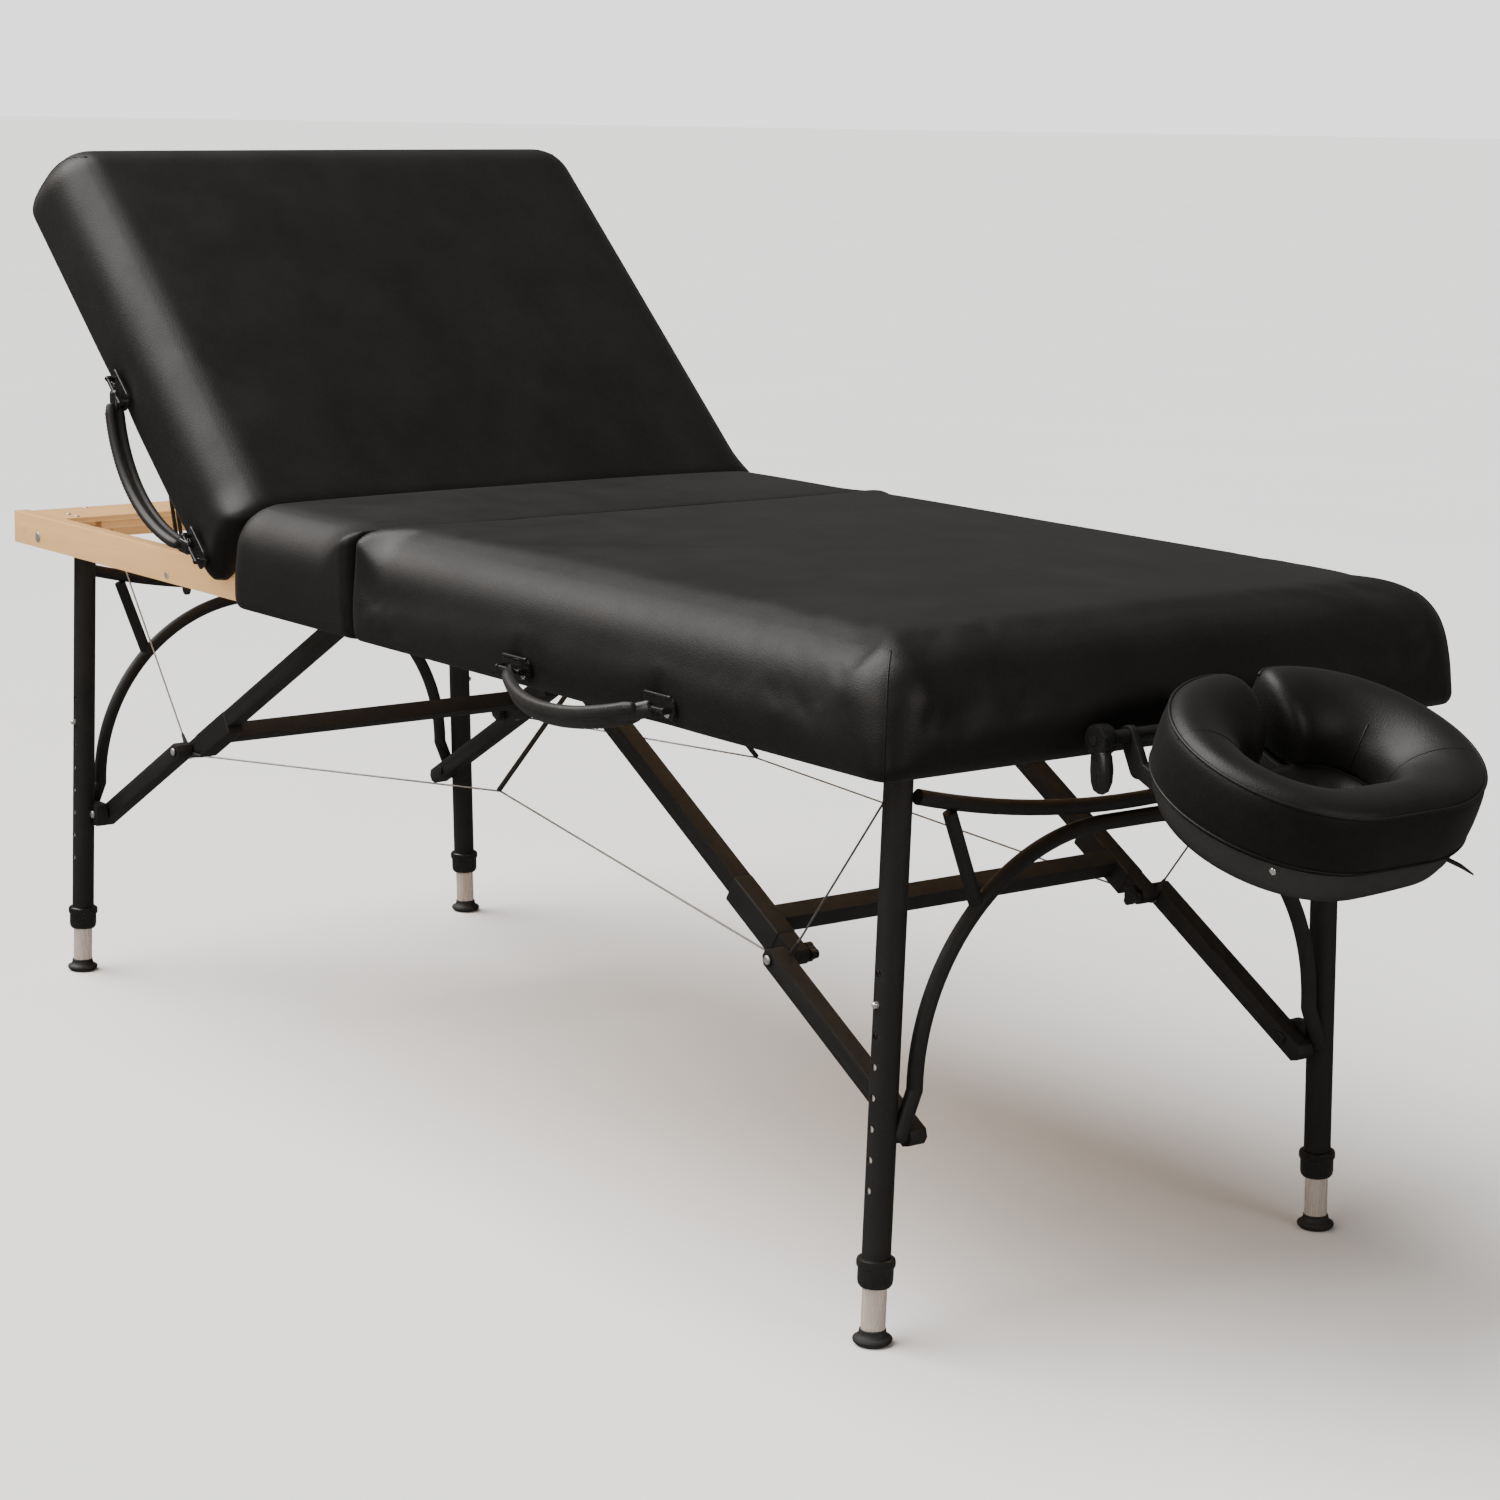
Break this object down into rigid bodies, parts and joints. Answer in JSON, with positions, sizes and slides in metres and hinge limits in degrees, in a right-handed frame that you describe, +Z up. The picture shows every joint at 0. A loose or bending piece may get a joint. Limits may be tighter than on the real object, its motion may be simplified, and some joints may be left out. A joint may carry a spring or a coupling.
{
  "type": "portable massage table",
  "caption": "Folding massage table: padded top hinged in the middle, lifting backrest, braced telescopic folding legs, carrying handles and an adjustable horseshoe face cradle.",
  "frame": {"origin": "on the floor, below the middle of the whole table's box", "axes": "+X along the table towards the face cradle, +Y across it to the side without handles, +Z up"},
  "size_m": [2.1238, 0.8138, 1.0926],
  "materials": {
    "black_vinyl": "satin",
    "rail_wood": "satin",
    "plywood": "matte",
    "zinc_steel": "satin",
    "bright_steel": "gloss",
    "black_steel": "satin",
    "handle_grip": "satin",
    "black_powder_coat": "matte",
    "black_gloss_plastic": "gloss",
    "bright_aluminium": "satin",
    "foot_rubber": "matte",
    "black_matte_plastic": "matte"
  },
  "bodies": {
    "front_half": {"front_frame": "rail_wood", "front_deck_panel": "plywood", "front_cushion": "black_vinyl", "front_pivot_bolts": "zinc_steel", "front_hinge_leaves": "zinc_steel", "front_handle_brackets": "bright_steel", "cradle_sockets": "bright_steel", "side_cables": "zinc_steel"},
    "fold_pin": {"fold_hinge_pin": "zinc_steel", "fold_stays": "black_steel"},
    "back_half": {"back_frame": "rail_wood", "back_deck_panel": "plywood", "back_cushion": "black_vinyl", "back_pivot_bolts": "zinc_steel", "back_hinge_leaves": "zinc_steel", "backrest_hinge_pins": "zinc_steel"},
    "backrest": {"backrest_board": "plywood", "backrest_cushion": "black_vinyl", "backrest_hinge_leaves": "zinc_steel", "backrest_handle_brackets": "bright_steel"},
    "backrest_prop": {"backrest_props": "black_steel"},
    "front_handle_loop": {"front_handle": "handle_grip"},
    "back_handle_loop": {"back_handle": "handle_grip"},
    "cradle_arm_frame": {"cradle_arms": "black_steel"},
    "cradle_link_frame": {"cradle_links": "black_steel"},
    "cam_lever": {"cradle_lever": "black_gloss_plastic"},
    "cradle_head": {"cradle_platform": "black_matte_plastic", "face_cushion": "black_vinyl"},
    "front_legs": {"front_right_leg_tube": "black_powder_coat", "front_left_leg_tube": "black_powder_coat", "front_leg_arch": "black_powder_coat", "front_leg_collars": "black_gloss_plastic", "front_brace_brackets": "black_powder_coat"},
    "front_upper_brace_frame": {"front_upper_braces": "black_powder_coat"},
    "front_lower_brace_pair": {"front_lower_braces": "black_powder_coat"},
    "front_right_foot_leg": {"front_right_inner_leg": "bright_aluminium", "front_right_foot": "foot_rubber"},
    "front_right_button": {"front_right_button": "bright_steel"},
    "front_right_knob": {"front_right_knob": "black_gloss_plastic"},
    "front_left_foot_leg": {"front_left_inner_leg": "bright_aluminium", "front_left_foot": "foot_rubber"},
    "front_left_button": {"front_left_button": "bright_steel"},
    "front_left_knob": {"front_left_knob": "black_gloss_plastic"},
    "back_legs": {"back_right_leg_tube": "black_powder_coat", "back_left_leg_tube": "black_powder_coat", "back_leg_arch": "black_powder_coat", "back_leg_collars": "black_gloss_plastic", "back_brace_brackets": "black_powder_coat"},
    "back_upper_brace_frame": {"back_upper_braces": "black_powder_coat"},
    "back_lower_brace_pair": {"back_lower_braces": "black_powder_coat"},
    "back_right_foot_leg": {"back_right_inner_leg": "bright_aluminium", "back_right_foot": "foot_rubber"},
    "back_right_button": {"back_right_button": "bright_steel"},
    "back_right_knob": {"back_right_knob": "black_gloss_plastic"},
    "back_left_foot_leg": {"back_left_inner_leg": "bright_aluminium", "back_left_foot": "foot_rubber"},
    "back_left_button": {"back_left_button": "bright_steel"},
    "back_left_knob": {"back_left_knob": "black_gloss_plastic"}
  },
  "joints": [
    {"name": "fold_first_half", "type": "hinge", "parent": "front_half", "child": "fold_pin", "pos_m": [-0.15988, 0.02694, 0.559], "axis": [0, -1, 0], "range_deg": [0, 90], "deforming": ["side_cables"]},
    {"name": "fold_second_half", "type": "hinge", "parent": "fold_pin", "child": "back_half", "pos_m": [-0.15988, 0.02694, 0.559], "axis": [0, -1, 0], "range_deg": [0, 90]},
    {"name": "front_legs_fold", "type": "hinge", "parent": "front_half", "child": "front_legs", "pos_m": [0.67212, 0.02694, 0.578], "axis": [0, 1, 0], "range_deg": [0, 90]},
    {"name": "front_upper_braces_fold", "type": "hinge", "parent": "front_half", "child": "front_upper_brace_frame", "pos_m": [0.00512, 0.02694, 0.59], "axis": [0, -1, 0], "range_deg": [0, 30.21]},
    {"name": "front_lower_braces_fold", "type": "hinge", "parent": "front_legs", "child": "front_lower_brace_pair", "pos_m": [0.65812, 0.02694, 0.21], "axis": [0, 1, 0], "range_deg": [0, 59.81]},
    {"name": "front_right_leg_height", "type": "slide", "parent": "front_legs", "child": "front_right_foot_leg", "axis": [0, -0.0294, -0.9996], "range_m": [-0.03, 0.18]},
    {"name": "front_right_snap_button", "type": "slide", "parent": "front_legs", "child": "front_right_button", "axis": [0, 0.9996, -0.0294], "range_m": [0, 0.004], "stiffness_N_per_m": 300},
    {"name": "front_right_knob_turn", "type": "hinge", "parent": "front_upper_brace_frame", "child": "front_right_knob", "pos_m": [0.46084, 0.02694, 0.32481], "axis": [0, 1, 0], "continuous": true},
    {"name": "front_left_leg_height", "type": "slide", "parent": "front_legs", "child": "front_left_foot_leg", "axis": [0, 0.0294, -0.9996], "range_m": [-0.03, 0.18]},
    {"name": "front_left_snap_button", "type": "slide", "parent": "front_legs", "child": "front_left_button", "axis": [0, -0.9996, -0.0294], "range_m": [0, 0.004], "stiffness_N_per_m": 300},
    {"name": "front_left_knob_turn", "type": "hinge", "parent": "front_upper_brace_frame", "child": "front_left_knob", "pos_m": [0.46084, 0.02694, 0.32481], "axis": [0, 1, 0], "continuous": true},
    {"name": "back_legs_fold", "type": "hinge", "parent": "back_half", "child": "back_legs", "pos_m": [-0.99188, 0.02694, 0.578], "axis": [0, -1, 0], "range_deg": [0, 90]},
    {"name": "back_upper_braces_fold", "type": "hinge", "parent": "back_half", "child": "back_upper_brace_frame", "pos_m": [-0.32488, 0.02694, 0.59], "axis": [0, 1, 0], "range_deg": [0, 30.21]},
    {"name": "back_lower_braces_fold", "type": "hinge", "parent": "back_legs", "child": "back_lower_brace_pair", "pos_m": [-0.97788, 0.02694, 0.21], "axis": [0, -1, 0], "range_deg": [0, 59.81]},
    {"name": "back_right_leg_height", "type": "slide", "parent": "back_legs", "child": "back_right_foot_leg", "axis": [0, -0.0294, -0.9996], "range_m": [-0.03, 0.18]},
    {"name": "back_right_snap_button", "type": "slide", "parent": "back_legs", "child": "back_right_button", "axis": [0, 0.9996, -0.0294], "range_m": [0, 0.004], "stiffness_N_per_m": 300},
    {"name": "back_right_knob_turn", "type": "hinge", "parent": "back_upper_brace_frame", "child": "back_right_knob", "pos_m": [-0.78059, 0.02694, 0.32481], "axis": [0, 1, 0], "continuous": true},
    {"name": "back_left_leg_height", "type": "slide", "parent": "back_legs", "child": "back_left_foot_leg", "axis": [0, 0.0294, -0.9996], "range_m": [-0.03, 0.18]},
    {"name": "back_left_snap_button", "type": "slide", "parent": "back_legs", "child": "back_left_button", "axis": [0, -0.9996, -0.0294], "range_m": [0, 0.004], "stiffness_N_per_m": 300},
    {"name": "back_left_knob_turn", "type": "hinge", "parent": "back_upper_brace_frame", "child": "back_left_knob", "pos_m": [-0.78059, 0.02694, 0.32481], "axis": [0, 1, 0], "continuous": true},
    {"name": "backrest_tilt", "type": "hinge", "parent": "back_half", "child": "backrest", "pos_m": [-0.44588, 0.02694, 0.605], "axis": [0, 1, 0], "range_deg": [-42, 3]},
    {"name": "backrest_prop_swing", "type": "hinge", "parent": "backrest", "child": "backrest_prop", "pos_m": [-0.71222, 0.02694, 0.82329], "axis": [0, 1, 0], "range_deg": [-25.84, 1.89]},
    {"name": "cradle_pull_out", "type": "slide", "parent": "front_half", "child": "cradle_arm_frame", "axis": [1, 0, 0], "range_m": [0, 0.06]},
    {"name": "cradle_link_tilt", "type": "hinge", "parent": "cradle_arm_frame", "child": "cradle_link_frame", "pos_m": [0.78512, 0.02694, 0.585], "axis": [0, -1, 0], "range_deg": [-15, 25]},
    {"name": "cradle_platform_tilt", "type": "hinge", "parent": "cradle_link_frame", "child": "cradle_head", "pos_m": [0.93615, 0.02694, 0.50152], "axis": [0, -1, 0], "range_deg": [-20, 2]},
    {"name": "cam_lever_turn", "type": "hinge", "parent": "cradle_arm_frame", "child": "cam_lever", "pos_m": [0.78512, 0.02694, 0.585], "axis": [0, -1, 0], "range_deg": [0, 75]},
    {"name": "front_handle_swing", "type": "hinge", "parent": "front_half", "child": "front_handle_loop", "pos_m": [-0.15988, -0.36306, 0.584], "axis": [-1, 0, 0], "range_deg": [-55, 85]},
    {"name": "back_handle_swing", "type": "hinge", "parent": "backrest", "child": "back_handle_loop", "pos_m": [-0.50006, -0.36306, 0.62553], "axis": [-0.7431, 0, 0.6691], "range_deg": [-4, 80]}
  ],
  "couplings": [
    {"joint": "front_legs_fold", "follows": "fold_first_half", "ratio": 1},
    {"joint": "front_upper_braces_fold", "follows": "fold_first_half", "ratio": 0.33552},
    {"joint": "front_lower_braces_fold", "follows": "fold_first_half", "ratio": 0.66448},
    {"joint": "back_legs_fold", "follows": "fold_first_half", "ratio": 1},
    {"joint": "back_upper_braces_fold", "follows": "fold_first_half", "ratio": 0.33552},
    {"joint": "back_lower_braces_fold", "follows": "fold_first_half", "ratio": 0.66448},
    {"joint": "backrest_prop_swing", "follows": "backrest_tilt", "ratio": 0.61403}
  ]
}
